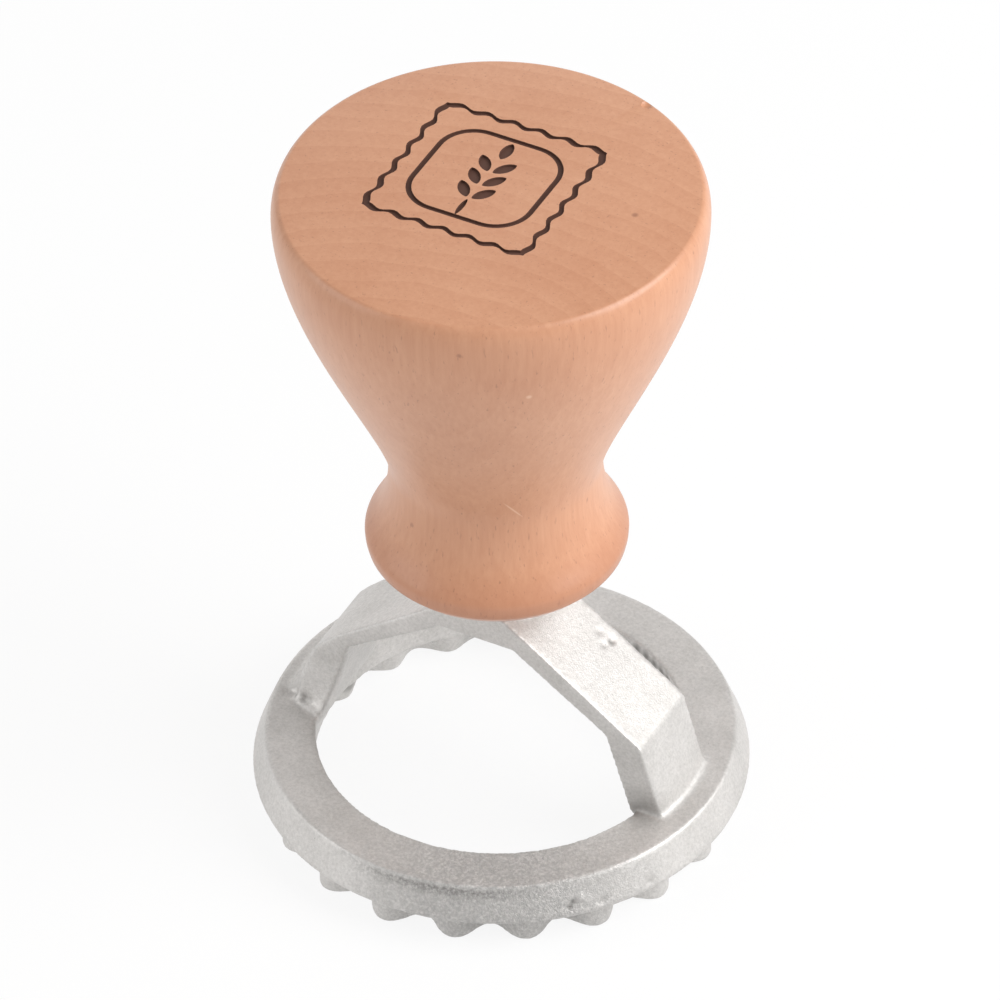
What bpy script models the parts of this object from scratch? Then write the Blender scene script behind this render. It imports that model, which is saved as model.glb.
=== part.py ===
"""Ravioli stamp: a cast aluminium cutting head, a turned wooden handle and the screw that joins them.

Blender 4.5, metres, +Z up. The origin is the middle of the circle that the cutting edge stands on.
The bridge of the head runs along X, and the mark on the handle reads from the -Y side.
"""
import math

import bmesh
import bpy
from mathutils import Matrix, Vector

# Flange: the solid ring above the cutting wall, narrower at its top than at its lower edge
FLANGE_OUTER_RADIUS = 0.0311
FLANGE_SIDE_DRAFT = 0.0016
FLANGE_TOP_WIDTH = 0.0065
FLANGE_BORE_DRAFT = 0.0003
FLANGE_HEIGHT = 0.0051
FLANGE_EDGE_ROUND = 0.0006

# Cutting wall: a fluted ring below the flange, with a flat lower edge. Its inside waves more softly and
# leans out towards the edge; the thickness is the one in the hollows, at the edge.
FLUTE_COUNT = 20
FLUTE_INSET = 0.0039
FLUTE_SWING = 0.0015
FLUTE_POINTEDNESS = 3
FLUTE_ROUND = 0.00105
FLUTE_PHASE = math.radians(-2.1)
WALL_THICKNESS = 0.0020
WALL_INSIDE_SWING = 0.00105
WALL_INSIDE_DRAFT = 0.0012
WALL_HEIGHT = 0.0039
WALL_EDGE_CHAMFER = 0.0003
STEPS_PER_FLUTE = 8

# Bridge: the strap that springs from the flange and carries the handle
BRIDGE_WIDTH = 0.0120
BRIDGE_RISE = 0.0238
BRIDGE_THICKNESS = 0.0046
BRIDGE_CROWN_HALF = 0.0034
BRIDGE_KNUCKLE_HALF = 0.0066
BRIDGE_KNUCKLE_DROP = 0.0022
BRIDGE_INNER_CROWN_HALF = 0.0050
BRIDGE_BEND_INSET = 0.0033
BRIDGE_BEND_HEIGHT = 0.0100
BRIDGE_INNER_BEND_INSET = 0.00525
BRIDGE_INNER_BEND_HEIGHT = 0.0105
BRIDGE_FOOT_DEPTH = 0.0029
BRIDGE_FOOT_FILLET = 0.0013
BRIDGE_FOOT_OVERHANG = 0.0019
BRIDGE_FOOT_LIP = 0.0006
BRIDGE_FOOT_ROOT = 0.0005
BRIDGE_FOOT_SUNK = 0.0028
BRIDGE_EDGE_ROUND = 0.0005
BRIDGE_STATIONS = 5

# Boss: the round stub on the crown of the bridge that the handle sits on
BOSS_RADIUS = 0.0058
BOSS_HEIGHT = 0.0064
BOSS_CHAMFER = 0.0004
BOSS_SUNK = 0.0028

# Handle: turned from one piece of wood, heights measured from its own foot
HANDLE_SEAT_GAP = 0.0003
HANDLE_HEIGHT = 0.0550
HANDLE_BEAD_RADIUS = 0.0162
HANDLE_BEAD_HEIGHT = 0.0028
HANDLE_FOOT_INSET = 0.0015
HANDLE_NECK_RADIUS = 0.0131
HANDLE_NECK_HEIGHT = 0.0132
HANDLE_BELLY_RADIUS = 0.0263
HANDLE_RIM_HEIGHT = 0.0030
HANDLE_RIM_INSET = 0.0012
BEAD_FULLNESS = 0.0014
NECK_FULLNESS_BELOW = 0.0070
NECK_FULLNESS_ABOVE = 0.0066
BELLY_FULLNESS = 0.0127
HANDLE_STEPS = 64

# Screw: countersunk, from below, through the bridge and the boss into the handle
SCREW_SHANK_RADIUS = 0.0024
SCREW_HEAD_RADIUS = 0.0042
SCREW_HEAD_RIM = 0.0004
SCREW_GRIP = 0.0200
SCREW_POINT = 0.0035
SCREW_CLEARANCE = 0.0003
SCREW_RECESS_DEPTH = 0.0004
SCREW_BORE_SPARE = 0.0010
DRIVE_WIDTH = 0.0009
DRIVE_LENGTH = 0.0042
DRIVE_DEPTH = 0.0014
SCREW_STEPS = 32

# Mark burnt into the top of the handle: a scalloped ravioli round a wheat ear
MARK_DEPTH = 0.00035
MARK_LINE = 0.0007
MARK_CENTRE = (-0.0019, 0.0021)
MARK_SIDE = 0.0210
MARK_SCALLOPS = 6
MARK_SCALLOP_SWING = 0.0006
MARK_PILLOW = 0.0158
MARK_PILLOW_CORNER = 0.0045
GRAIN_LENGTH = 0.0032
GRAIN_WIDTH = 0.0015
GRAIN_TILT = math.radians(38.0)
GRAIN_PAIRS = 3
GRAIN_PITCH = 0.0027

# Radii and heights that follow from the sizes above
FLANGE_TOP_RADIUS = FLANGE_OUTER_RADIUS - FLANGE_SIDE_DRAFT
FLANGE_BORE_RADIUS = FLANGE_TOP_RADIUS - FLANGE_TOP_WIDTH
FLUTE_MEAN_RADIUS = FLANGE_OUTER_RADIUS - FLUTE_INSET
WALL_HOLLOW_RADIUS = FLUTE_MEAN_RADIUS - FLUTE_SWING + FLUTE_ROUND
WALL_INSIDE_RADIUS = WALL_HOLLOW_RADIUS - WALL_THICKNESS + WALL_INSIDE_SWING
BRIDGE_FOOT_RADIUS = FLANGE_BORE_RADIUS + BRIDGE_FOOT_DEPTH
FLANGE_UNDER_Z = WALL_HEIGHT
FLANGE_TOP_Z = WALL_HEIGHT + FLANGE_HEIGHT
BRIDGE_TOP_Z = FLANGE_TOP_Z + BRIDGE_RISE
BRIDGE_UNDER_Z = BRIDGE_TOP_Z - BRIDGE_THICKNESS
BOSS_TOP_Z = BRIDGE_TOP_Z + BOSS_HEIGHT
HANDLE_FOOT_Z = BOSS_TOP_Z + HANDLE_SEAT_GAP
HANDLE_TOP_Z = HANDLE_FOOT_Z + HANDLE_HEIGHT
SCREW_HEAD_Z = BRIDGE_UNDER_Z + SCREW_RECESS_DEPTH
SCREW_END_Z = HANDLE_FOOT_Z + SCREW_GRIP


def clear_scene():
    for item in list(bpy.data.objects):
        bpy.data.objects.remove(item, do_unlink=True)


def principled(name, colour, roughness, metallic):
    material = bpy.data.materials.new(name)
    material.use_nodes = True
    shader = material.node_tree.nodes["Principled BSDF"]
    shader.inputs["Base Color"].default_value = (*colour, 1.0)
    shader.inputs["Roughness"].default_value = roughness
    shader.inputs["Metallic"].default_value = metallic
    return material


def finish_mesh(name, bm, material=None, sharp_angle=math.radians(35.0)):
    """Turn a bmesh into an object with its faces out and round surfaces shaded smooth."""
    bmesh.ops.recalc_face_normals(bm, faces=bm.faces)
    mesh = bpy.data.meshes.new(name)
    bm.to_mesh(mesh)
    bm.free()
    mesh.shade_smooth()
    mesh.set_sharp_from_angle(angle=sharp_angle)
    item = bpy.data.objects.new(name, mesh)
    bpy.context.scene.collection.objects.link(item)
    if material:
        mesh.materials.append(material)
    return item


def as_helper(item):
    """Keep an object only as the shape that a Boolean adds or takes away."""
    item.hide_render = True
    item.display_type = "WIRE"
    return item


def combine(target, helper, operation):
    step = target.modifiers.new(f"{operation.lower()}_{helper.name}", "BOOLEAN")
    step.operation = operation
    step.solver = "EXACT"
    step.object = helper


def turned(outline, steps):
    """Spin an open outline of (radius, height) points that starts and ends on the axis."""
    bm = bmesh.new()
    verts = [bm.verts.new((radius, 0.0, height)) for radius, height in outline]
    edges = [bm.edges.new(pair) for pair in zip(verts, verts[1:])]
    bmesh.ops.spin(
        bm, geom=verts + edges, axis=(0, 0, 1), cent=(0, 0, 0), angle=math.tau, steps=steps, use_merge=True
    )
    bmesh.ops.remove_doubles(bm, verts=bm.verts, dist=1e-6)
    return bm


def arc_points(centre, radii, start, end, count):
    """Points of an elliptical arc, angles in degrees from the +radius direction."""
    points = []
    for index in range(count + 1):
        angle = math.radians(start + (end - start) * index / count)
        points.append((centre[0] + radii[0] * math.cos(angle), centre[1] + radii[1] * math.sin(angle)))
    return points


def upright_curve(lower, upper, leave, arrive, count):
    """A curve from lower to upper that is upright at both ends, without its first point."""
    controls = [
        Vector(lower),
        Vector((lower[0], lower[1] + leave)),
        Vector((upper[0], upper[1] - arrive)),
        Vector(upper),
    ]
    points = []
    for index in range(1, count + 1):
        t = index / count
        weights = ((1 - t) ** 3, 3 * (1 - t) ** 2 * t, 3 * (1 - t) * t * t, t ** 3)
        point = sum((weight * control for weight, control in zip(weights, controls)), Vector((0.0, 0.0)))
        points.append((point.x, point.y))
    return points


def flute_point(angle, offset):
    """A point of the wall's outside: a pointed wave, moved out by offset square to its line.

    The ridges stand out narrow and the hollows between them are broad, more so with more pointedness.
    """
    half_wave = FLUTE_COUNT * (angle - FLUTE_PHASE) / 2
    ridge = abs(math.cos(half_wave))
    steep = math.copysign(math.sin(half_wave), math.sin(2 * half_wave)) * ridge ** (FLUTE_POINTEDNESS - 1)
    radius = FLUTE_MEAN_RADIUS + FLUTE_SWING * (2 * ridge ** FLUTE_POINTEDNESS - 1)
    slope = -FLUTE_SWING * FLUTE_COUNT * FLUTE_POINTEDNESS * steep
    outward = Vector((math.cos(angle), math.sin(angle)))
    along = Vector((-math.sin(angle), math.cos(angle)))
    normal = (outward * radius - along * slope).normalized()
    return outward * radius + normal * offset


def inside_point(angle, radius):
    """A point of the wall's inside, an even wave about a radius."""
    wave = WALL_INSIDE_SWING * math.cos(FLUTE_COUNT * (angle - FLUTE_PHASE))
    return Vector((math.cos(angle), math.sin(angle))) * (radius + wave)


def build_flange_and_wall():
    """Spin the section of the ring, then push the rows of the wall out into flutes."""
    chamfer = WALL_EDGE_CHAMFER
    inside_rows = [
        (WALL_INSIDE_RADIUS - WALL_INSIDE_DRAFT, FLANGE_UNDER_Z),
        (WALL_INSIDE_RADIUS, chamfer),
        (WALL_INSIDE_RADIUS + chamfer, 0.0),
    ]
    outside_rows = [
        (FLUTE_ROUND - chamfer, 0.0),
        (FLUTE_ROUND, chamfer),
        (FLUTE_ROUND, FLANGE_UNDER_Z),
    ]
    edge = FLANGE_EDGE_ROUND
    lower_edge = arc_points((FLANGE_OUTER_RADIUS - edge, FLANGE_UNDER_Z + edge), (edge, edge), -90, 0, 2)
    upper_edge = arc_points((FLANGE_TOP_RADIUS - edge, FLANGE_TOP_Z - edge), (edge, edge), 20, 90, 2)
    flange_section = lower_edge + upper_edge + [
        (FLANGE_BORE_RADIUS, FLANGE_TOP_Z),
        (FLANGE_BORE_RADIUS + FLANGE_BORE_DRAFT, FLANGE_UNDER_Z),
    ]
    wall_section = inside_rows + [(FLUTE_MEAN_RADIUS + offset, height) for offset, height in outside_rows]
    bm = bmesh.new()
    row_of = bm.verts.layers.int.new("wall_row")
    verts = [bm.verts.new((radius, 0.0, height)) for radius, height in wall_section + flange_section]
    edges = [bm.edges.new(pair) for pair in zip(verts, verts[1:] + verts[:1])]
    for row, vert in enumerate(verts[: len(wall_section)], start=1):
        vert[row_of] = row
    bmesh.ops.spin(
        bm,
        geom=verts + edges,
        axis=(0, 0, 1),
        cent=(0, 0, 0),
        angle=math.tau,
        steps=FLUTE_COUNT * STEPS_PER_FLUTE,
        use_merge=True,
    )
    bmesh.ops.rotate(bm, verts=bm.verts, cent=(0, 0, 0), matrix=Matrix.Rotation(FLUTE_PHASE, 3, "Z"))
    for vert in bm.verts:
        row = vert[row_of] - 1
        angle = math.atan2(vert.co.y, vert.co.x)
        if row >= len(inside_rows):
            vert.co.xy = flute_point(angle, outside_rows[row - len(inside_rows)][0])
        elif row >= 0:
            vert.co.xy = inside_point(angle, inside_rows[row][0])
    bm.verts.layers.int.remove(row_of)
    return bm


def bridge_section(across):
    """The outline of the bridge in the X-Z plane at one place across its width."""
    foot_outer = math.sqrt(BRIDGE_FOOT_RADIUS ** 2 - across ** 2)
    foot_inner = FLANGE_BORE_RADIUS - BRIDGE_FOOT_OVERHANG
    bore_there = FLANGE_BORE_RADIUS + FLANGE_BORE_DRAFT * BRIDGE_FOOT_SUNK / FLANGE_HEIGHT
    root_inner = math.sqrt((bore_there + BRIDGE_FOOT_ROOT) ** 2 - across ** 2)
    base = FLANGE_TOP_Z
    half = [
        (BRIDGE_CROWN_HALF, BRIDGE_TOP_Z),
        (BRIDGE_KNUCKLE_HALF, BRIDGE_TOP_Z - BRIDGE_KNUCKLE_DROP),
        (BRIDGE_FOOT_RADIUS - BRIDGE_BEND_INSET, base + BRIDGE_BEND_HEIGHT),
        (foot_outer, base + BRIDGE_FOOT_FILLET),
        (foot_outer + BRIDGE_FOOT_FILLET, base),
        (foot_outer + BRIDGE_FOOT_FILLET, base - BRIDGE_FOOT_SUNK),
        (root_inner, base - BRIDGE_FOOT_SUNK),
        (foot_inner, base - BRIDGE_FOOT_LIP),
        (FLANGE_BORE_RADIUS - BRIDGE_INNER_BEND_INSET, base + BRIDGE_INNER_BEND_HEIGHT),
        (BRIDGE_INNER_CROWN_HALF, BRIDGE_UNDER_Z),
    ]
    return half + [(-along, height) for along, height in reversed(half)]


def build_bridge():
    """Loft the strap through sections laid side by side across its width."""
    bm = bmesh.new()
    sections = []
    for index in range(BRIDGE_STATIONS):
        across = BRIDGE_WIDTH * (index / (BRIDGE_STATIONS - 1) - 0.5)
        verts = [bm.verts.new((along, across, height)) for along, height in bridge_section(across)]
        sections.append([bm.edges.new(pair) for pair in zip(verts, verts[1:] + verts[:1])])
    for near, far in zip(sections, sections[1:]):
        bmesh.ops.bridge_loops(bm, edges=near + far)
    sides = [bmesh.ops.contextual_create(bm, geom=loop)["faces"][0] for loop in (sections[0], sections[-1])]
    bmesh.ops.recalc_face_normals(bm, faces=bm.faces)
    rims = [edge for side in sides for edge in side.edges]
    bmesh.ops.bevel(
        bm, geom=rims, offset=BRIDGE_EDGE_ROUND, segments=2, profile=0.5, affect="EDGES", material=-1
    )
    return bm


def build_boss():
    top = BOSS_TOP_Z
    outline = [
        (0.0, BRIDGE_TOP_Z - BOSS_SUNK),
        (BOSS_RADIUS, BRIDGE_TOP_Z - BOSS_SUNK),
        (BOSS_RADIUS, top - BOSS_CHAMFER),
        (BOSS_RADIUS - BOSS_CHAMFER, top),
        (0.0, top),
    ]
    return turned(outline, SCREW_STEPS)


def build_screw_hole():
    """The clearance hole with its countersink, open at both ends."""
    past = 0.001
    shank = SCREW_SHANK_RADIUS + SCREW_CLEARANCE
    mouth = SCREW_HEAD_RADIUS + SCREW_CLEARANCE
    cone_start = SCREW_HEAD_Z + SCREW_HEAD_RIM + SCREW_CLEARANCE
    outline = [
        (0.0, BRIDGE_UNDER_Z - past),
        (mouth, BRIDGE_UNDER_Z - past),
        (mouth, cone_start),
        (shank, cone_start + mouth - shank),
        (shank, BOSS_TOP_Z + past),
        (0.0, BOSS_TOP_Z + past),
    ]
    return turned(outline, SCREW_STEPS)


def build_cast_head(material):
    head = finish_mesh("cast_head", build_flange_and_wall(), material)
    combine(head, as_helper(finish_mesh("bridge_strap", build_bridge())), "UNION")
    combine(head, as_helper(finish_mesh("bridge_boss", build_boss())), "UNION")
    combine(head, as_helper(finish_mesh("screw_hole", build_screw_hole())), "DIFFERENCE")
    return head


def handle_outline():
    """The turned outline from the middle of the foot round to the middle of the top."""
    foot = HANDLE_FOOT_Z
    bead = (HANDLE_BEAD_RADIUS, foot + HANDLE_BEAD_HEIGHT)
    neck = (HANDLE_NECK_RADIUS, foot + HANDLE_NECK_HEIGHT)
    belly = (HANDLE_BELLY_RADIUS, HANDLE_TOP_Z - HANDLE_RIM_HEIGHT)
    under_bead = arc_points(
        (HANDLE_BEAD_RADIUS - HANDLE_FOOT_INSET, bead[1]), (HANDLE_FOOT_INSET, HANDLE_BEAD_HEIGHT), -90, 0, 4
    )
    rim = arc_points(
        (HANDLE_BELLY_RADIUS - HANDLE_RIM_INSET, belly[1]), (HANDLE_RIM_INSET, HANDLE_RIM_HEIGHT), 0, 90, 5
    )
    return (
        [(0.0, foot)]
        + under_bead
        + upright_curve(bead, neck, BEAD_FULLNESS, NECK_FULLNESS_BELOW, 7)
        + upright_curve(neck, belly, NECK_FULLNESS_ABOVE, BELLY_FULLNESS, 11)
        + rim[1:]
        + [(0.0, HANDLE_TOP_Z)]
    )


def build_handle_bore():
    """The blind hole in the foot of the handle that takes the screw."""
    past = 0.001
    radius = SCREW_SHANK_RADIUS + SCREW_CLEARANCE
    end = SCREW_END_Z + SCREW_BORE_SPARE
    outline = [
        (0.0, HANDLE_FOOT_Z - past),
        (radius, HANDLE_FOOT_Z - past),
        (radius, end),
        (0.0, end + radius),
    ]
    return turned(outline, SCREW_STEPS)


def scalloped_square(side, swing, lobes):
    """A square outline whose sides wave in and out, lobes to a side."""
    points = []
    steps = lobes * 4
    for corner in range(4):
        turn = Matrix.Rotation(corner * math.pi / 2, 2)
        for index in range(steps):
            along = index / steps
            wave = swing * math.sin(math.pi * lobes * along) ** 2
            points.append(turn @ Vector((side * (along - 0.5), -side / 2 - wave)))
    return points


def rounded_square(side, corner):
    points = []
    for quarter in range(4):
        centre = Matrix.Rotation(quarter * math.pi / 2, 2) @ Vector((side / 2 - corner, side / 2 - corner))
        for index in range(7):
            angle = math.pi / 2 * (quarter + index / 6)
            points.append(centre + corner * Vector((math.cos(angle), math.sin(angle))))
    return points


def grain(base, direction, length, width):
    """A pointed oval that starts at base, as a list of points."""
    along = Vector((math.cos(direction), math.sin(direction)))
    across = Vector((-along.y, along.x))
    points = []
    for index in range(12):
        angle = math.tau * index / 12
        bulge = abs(math.sin(angle)) ** 1.4 * math.copysign(1.0, math.sin(angle))
        reach = length * (0.5 - 0.5 * math.cos(angle))
        points.append(base + along * reach + across * bulge * width / 2)
    return points


def add_sunk_shape(bm, outline, hole=None):
    """Stand a prism on the floor of the mark; with a hole it becomes a closed ribbon."""
    floor = HANDLE_TOP_Z - MARK_DEPTH
    roof = HANDLE_TOP_Z + MARK_DEPTH
    loops = [outline] + ([hole] if hole else [])
    rings = []
    for loop in loops:
        lower = [bm.verts.new((point.x, point.y, floor)) for point in loop]
        upper = [bm.verts.new((point.x, point.y, roof)) for point in loop]
        rings.append((lower, upper))
        for index in range(len(loop)):
            after = (index + 1) % len(loop)
            bm.faces.new((lower[index], lower[after], upper[after], upper[index]))
    if hole:
        for level in (0, 1):
            outer, inner = rings[0][level], rings[1][level]
            for index in range(len(outer)):
                after = (index + 1) % len(outer)
                bm.faces.new((outer[index], outer[after], inner[after], inner[index]))
    else:
        bm.faces.new(rings[0][0])
        bm.faces.new(rings[0][1])


def ribbon(bm, path_of, size):
    """A groove of even width along a closed outline that path_of draws at a given side."""
    add_sunk_shape(bm, path_of(size + MARK_LINE), path_of(size - MARK_LINE))


def build_mark_border():
    """The wavy edge of the ravioli."""
    bm = bmesh.new()
    ribbon(bm, lambda side: scalloped_square(side, MARK_SCALLOP_SWING, MARK_SCALLOPS), MARK_SIDE)
    return bm


def build_mark_pillow():
    """The raised middle of the ravioli, drawn as a square with round corners."""
    bm = bmesh.new()
    ribbon(bm, lambda side: rounded_square(side, MARK_PILLOW_CORNER + (side - MARK_PILLOW) / 2), MARK_PILLOW)
    return bm


def build_mark_ear():
    """The wheat ear: a stem, pairs of grains and one at the tip, each a groove of its own."""
    bm = bmesh.new()
    upright = math.pi / 2
    first = -GRAIN_PITCH * GRAIN_PAIRS / 2
    stem_foot = Vector((0.0, first - GRAIN_LENGTH - MARK_LINE / 2))
    add_sunk_shape(bm, grain(stem_foot, upright, GRAIN_LENGTH, MARK_LINE))
    for pair in range(GRAIN_PAIRS):
        for side in (-1, 1):
            base = Vector((side * MARK_LINE / 2, first + GRAIN_PITCH * pair))
            add_sunk_shape(bm, grain(base, upright - side * GRAIN_TILT, GRAIN_LENGTH, GRAIN_WIDTH))
    tip = Vector((0.0, first + GRAIN_PITCH * GRAIN_PAIRS))
    add_sunk_shape(bm, grain(tip, upright, GRAIN_LENGTH, GRAIN_WIDTH))
    return bm


def build_handle(material):
    handle = finish_mesh("handle", turned(handle_outline(), HANDLE_STEPS), material)
    combine(handle, as_helper(finish_mesh("handle_bore", build_handle_bore())), "DIFFERENCE")
    grooves = {
        "mark_border": build_mark_border(),
        "mark_pillow": build_mark_pillow(),
        "mark_ear": build_mark_ear(),
    }
    for name, bm in grooves.items():
        bmesh.ops.translate(bm, verts=bm.verts, vec=(*MARK_CENTRE, 0.0))
        combine(handle, as_helper(finish_mesh(name, bm)), "DIFFERENCE")
    return handle


def build_drive():
    """The cross recess in the screw's head, two crossed bars in one body."""
    bm = bmesh.new()
    half_long = DRIVE_LENGTH / 2
    half_wide = DRIVE_WIDTH / 2
    arm = ((half_long, -half_wide), (half_long, half_wide), (half_wide, half_wide))
    corners = []
    for quarter in range(4):
        turn = Matrix.Rotation(quarter * math.pi / 2, 2)
        corners.extend(turn @ Vector(point) for point in arm)
    floor = [bm.verts.new((corner.x, corner.y, SCREW_HEAD_Z - DRIVE_DEPTH)) for corner in corners]
    face = bm.faces.new(floor)
    raised = bmesh.ops.extrude_face_region(bm, geom=[face])["geom"]
    lifted = [item for item in raised if isinstance(item, bmesh.types.BMVert)]
    bmesh.ops.translate(bm, verts=lifted, vec=(0.0, 0.0, 2 * DRIVE_DEPTH))
    return bm


def build_screw(material):
    cone_start = SCREW_HEAD_Z + SCREW_HEAD_RIM
    outline = [
        (0.0, SCREW_HEAD_Z),
        (SCREW_HEAD_RADIUS, SCREW_HEAD_Z),
        (SCREW_HEAD_RADIUS, cone_start),
        (SCREW_SHANK_RADIUS, cone_start + SCREW_HEAD_RADIUS - SCREW_SHANK_RADIUS),
        (SCREW_SHANK_RADIUS, SCREW_END_Z - SCREW_POINT),
        (0.0, SCREW_END_Z),
    ]
    screw = finish_mesh("fixing_screw", turned(outline, SCREW_STEPS), material)
    combine(screw, as_helper(finish_mesh("screw_drive", build_drive())), "DIFFERENCE")
    return screw


clear_scene()
build_cast_head(principled("cast_aluminium", (0.62, 0.61, 0.59), 0.45, 0.9))
build_handle(principled("turned_wood", (0.62, 0.33, 0.20), 0.55, 0.0))
build_screw(principled("zinc_plated_steel", (0.60, 0.60, 0.62), 0.35, 1.0))
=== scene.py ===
"""Looks of the ravioli stamp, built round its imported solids.

Metres, +Z up. The origin is the middle of the circle that the cutting edge stands on, the bridge of the
head runs along X, and the mark on the handle reads from the -Y side.
"""
import math

import bmesh
import bpy
from mathutils import Matrix, Vector, noise


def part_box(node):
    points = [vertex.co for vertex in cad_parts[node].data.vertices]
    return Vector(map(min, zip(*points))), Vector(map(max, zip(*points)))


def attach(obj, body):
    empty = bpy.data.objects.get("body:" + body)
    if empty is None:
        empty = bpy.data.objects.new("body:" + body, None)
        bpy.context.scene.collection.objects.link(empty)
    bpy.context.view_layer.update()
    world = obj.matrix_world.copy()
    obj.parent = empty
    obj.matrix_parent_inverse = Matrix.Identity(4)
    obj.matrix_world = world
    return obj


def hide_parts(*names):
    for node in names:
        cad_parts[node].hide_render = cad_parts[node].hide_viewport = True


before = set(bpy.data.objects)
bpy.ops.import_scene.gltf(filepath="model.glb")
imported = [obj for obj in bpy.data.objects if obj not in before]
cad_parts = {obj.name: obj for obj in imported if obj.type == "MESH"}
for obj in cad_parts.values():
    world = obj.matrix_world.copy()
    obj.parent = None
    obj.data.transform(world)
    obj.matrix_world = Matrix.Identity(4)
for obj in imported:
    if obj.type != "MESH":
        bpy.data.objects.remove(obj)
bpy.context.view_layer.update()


# The cast head: one aluminium casting, with a fluted cutting wall under a solid flange and a bent strap
# that bridges the flange and ends in a round boss for the handle. It was poured in sand, knocked out and
# bead blasted, so its edges are soft, its skin is grainy, and pits, a burr and a lip of scrap are left on it.
head_low, head_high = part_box("cast_head")
FLANGE_OUTER_RADIUS = head_high.x
FLANGE_TOP_RADIUS = 0.0295
FLANGE_BORE_RADIUS = 0.0230
FLANGE_BORE_DRAFT = 0.0003
FLANGE_UNDER_Z = 0.0039
FLANGE_TOP_Z = 0.0090
FLANGE_ROUND_BELOW = 0.0007
FLANGE_ROUND_ABOVE = 0.0004
FLUTE_COUNT = 20
FLUTE_MEAN_RADIUS = 0.0272
FLUTE_SWING = 0.0015
FLUTE_POINTEDNESS = 3
FLUTE_PHASE = math.radians(-2.1)
FLUTE_ROUND = 0.00105
WALL_INSIDE_RADIUS = 0.0258
WALL_INSIDE_SWING = 0.00105
WALL_INSIDE_DRAFT = 0.0012
WALL_CHAMFER = 0.0003
STEPS_PER_FLUTE = 20
BRIDGE_WIDTH = 0.0120
BRIDGE_TOP_Z = 0.0328
BRIDGE_UNDER_Z = 0.0282
BRIDGE_CROWN_HALF = 0.0034
BRIDGE_KNUCKLE_HALF = 0.0066
BRIDGE_KNUCKLE_DROP = 0.0022
BRIDGE_INNER_CROWN_HALF = 0.0050
BRIDGE_INNER_BEND = 0.01775
BRIDGE_LEFT_INNER_BEND = 0.0181
BRIDGE_INNER_BEND_HEIGHT = 0.0105
BRIDGE_KNEE = ((0.0222, 0.0103), (0.0226, 0.0100), (0.0228, 0.0095))
BRIDGE_WORN_KNEE = ((0.0198, 0.0119), (0.0215, 0.0104), (0.0229, 0.0088), (0.0237, 0.0073))
BRIDGE_FOOT_RADIUS = 0.0259
BRIDGE_FOOT_FILLET = 0.0011
BRIDGE_LEFT_FILLET = 0.0031
BRIDGE_FOOT_INNER = 0.0211
BRIDGE_FOOT_LIP = 0.0006
BRIDGE_FOOT_ROOT = 0.0011
BRIDGE_FOOT_SUNK = 0.0028
BRIDGE_STATIONS = 9
BOSS_RADIUS = 0.0058
BOSS_TOP_Z = head_high.z
BOSS_SUNK = 0.0028
BOSS_CHAMFER = 0.0004
BOSS_STEPS = 48
SCREW_HOLE_RADIUS = 0.0027
SCREW_MOUTH_RADIUS = 0.0045
SCREW_MOUTH_DEPTH = 0.0011
CUT_PAST = 0.001
TINY = 1e-6
CAST_VOXEL = 0.00033
CAST_SMOOTHING = 2


def spun(outline, steps, closed=False):
    """A bmesh turned round the Z axis from (radius, height) points."""
    bm = bmesh.new()
    verts = [bm.verts.new((radius, 0.0, height)) for radius, height in outline]
    pairs = list(zip(verts, verts[1:]))
    if closed:
        pairs.append((verts[-1], verts[0]))
    edges = [bm.edges.new(pair) for pair in pairs]
    bmesh.ops.spin(
        bm, geom=verts + edges, axis=(0, 0, 1), cent=(0, 0, 0), angle=math.tau, steps=steps, use_merge=True
    )
    bmesh.ops.remove_doubles(bm, verts=bm.verts, dist=TINY)
    bmesh.ops.recalc_face_normals(bm, faces=bm.faces)
    return bm


def shown(name, bm, sharp_angle=None):
    """Make an object of a bmesh, shaded smooth, with edges sharper than sharp_angle kept hard."""
    mesh = bpy.data.meshes.new(name)
    bm.to_mesh(mesh)
    bm.free()
    mesh.shade_smooth()
    if sharp_angle is not None:
        mesh.set_sharp_from_angle(angle=sharp_angle)
    item = bpy.data.objects.new(name, mesh)
    bpy.context.scene.collection.objects.link(item)
    return item


def combined(base, *steps):
    """Run (operation, helper) Booleans on base and return the result as a bmesh, helpers removed."""
    for operation, helper in steps:
        step = base.modifiers.new(helper.name, "BOOLEAN")
        step.operation = operation
        step.solver = "EXACT"
        step.object = helper
    bm = bmesh.new()
    bm.from_object(base, bpy.context.evaluated_depsgraph_get())
    for item in [base] + [helper for operation, helper in steps]:
        bpy.data.objects.remove(item, do_unlink=True)
    return bm


def rounded_corner(centre, radius, start, end, count=3):
    """Points of a quarter turn or less round centre, angles in degrees."""
    return [
        (
            centre[0] + radius * math.cos(math.radians(start + (end - start) * index / count)),
            centre[1] + radius * math.sin(math.radians(start + (end - start) * index / count)),
        )
        for index in range(count + 1)
    ]


def fluted(angle, offset):
    """A point of the fluted wall's outside: a pointed wave, moved out by offset square to its line."""
    half_wave = FLUTE_COUNT * (angle - FLUTE_PHASE) / 2
    ridge = abs(math.cos(half_wave))
    steep = math.copysign(math.sin(half_wave), math.sin(2 * half_wave)) * ridge ** (FLUTE_POINTEDNESS - 1)
    radius = FLUTE_MEAN_RADIUS + FLUTE_SWING * (2 * ridge ** FLUTE_POINTEDNESS - 1)
    slope = -FLUTE_SWING * FLUTE_COUNT * FLUTE_POINTEDNESS * steep
    outward = Vector((math.cos(angle), math.sin(angle)))
    along = Vector((-math.sin(angle), math.cos(angle)))
    return outward * radius + (outward * radius - along * slope).normalized() * offset


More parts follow.
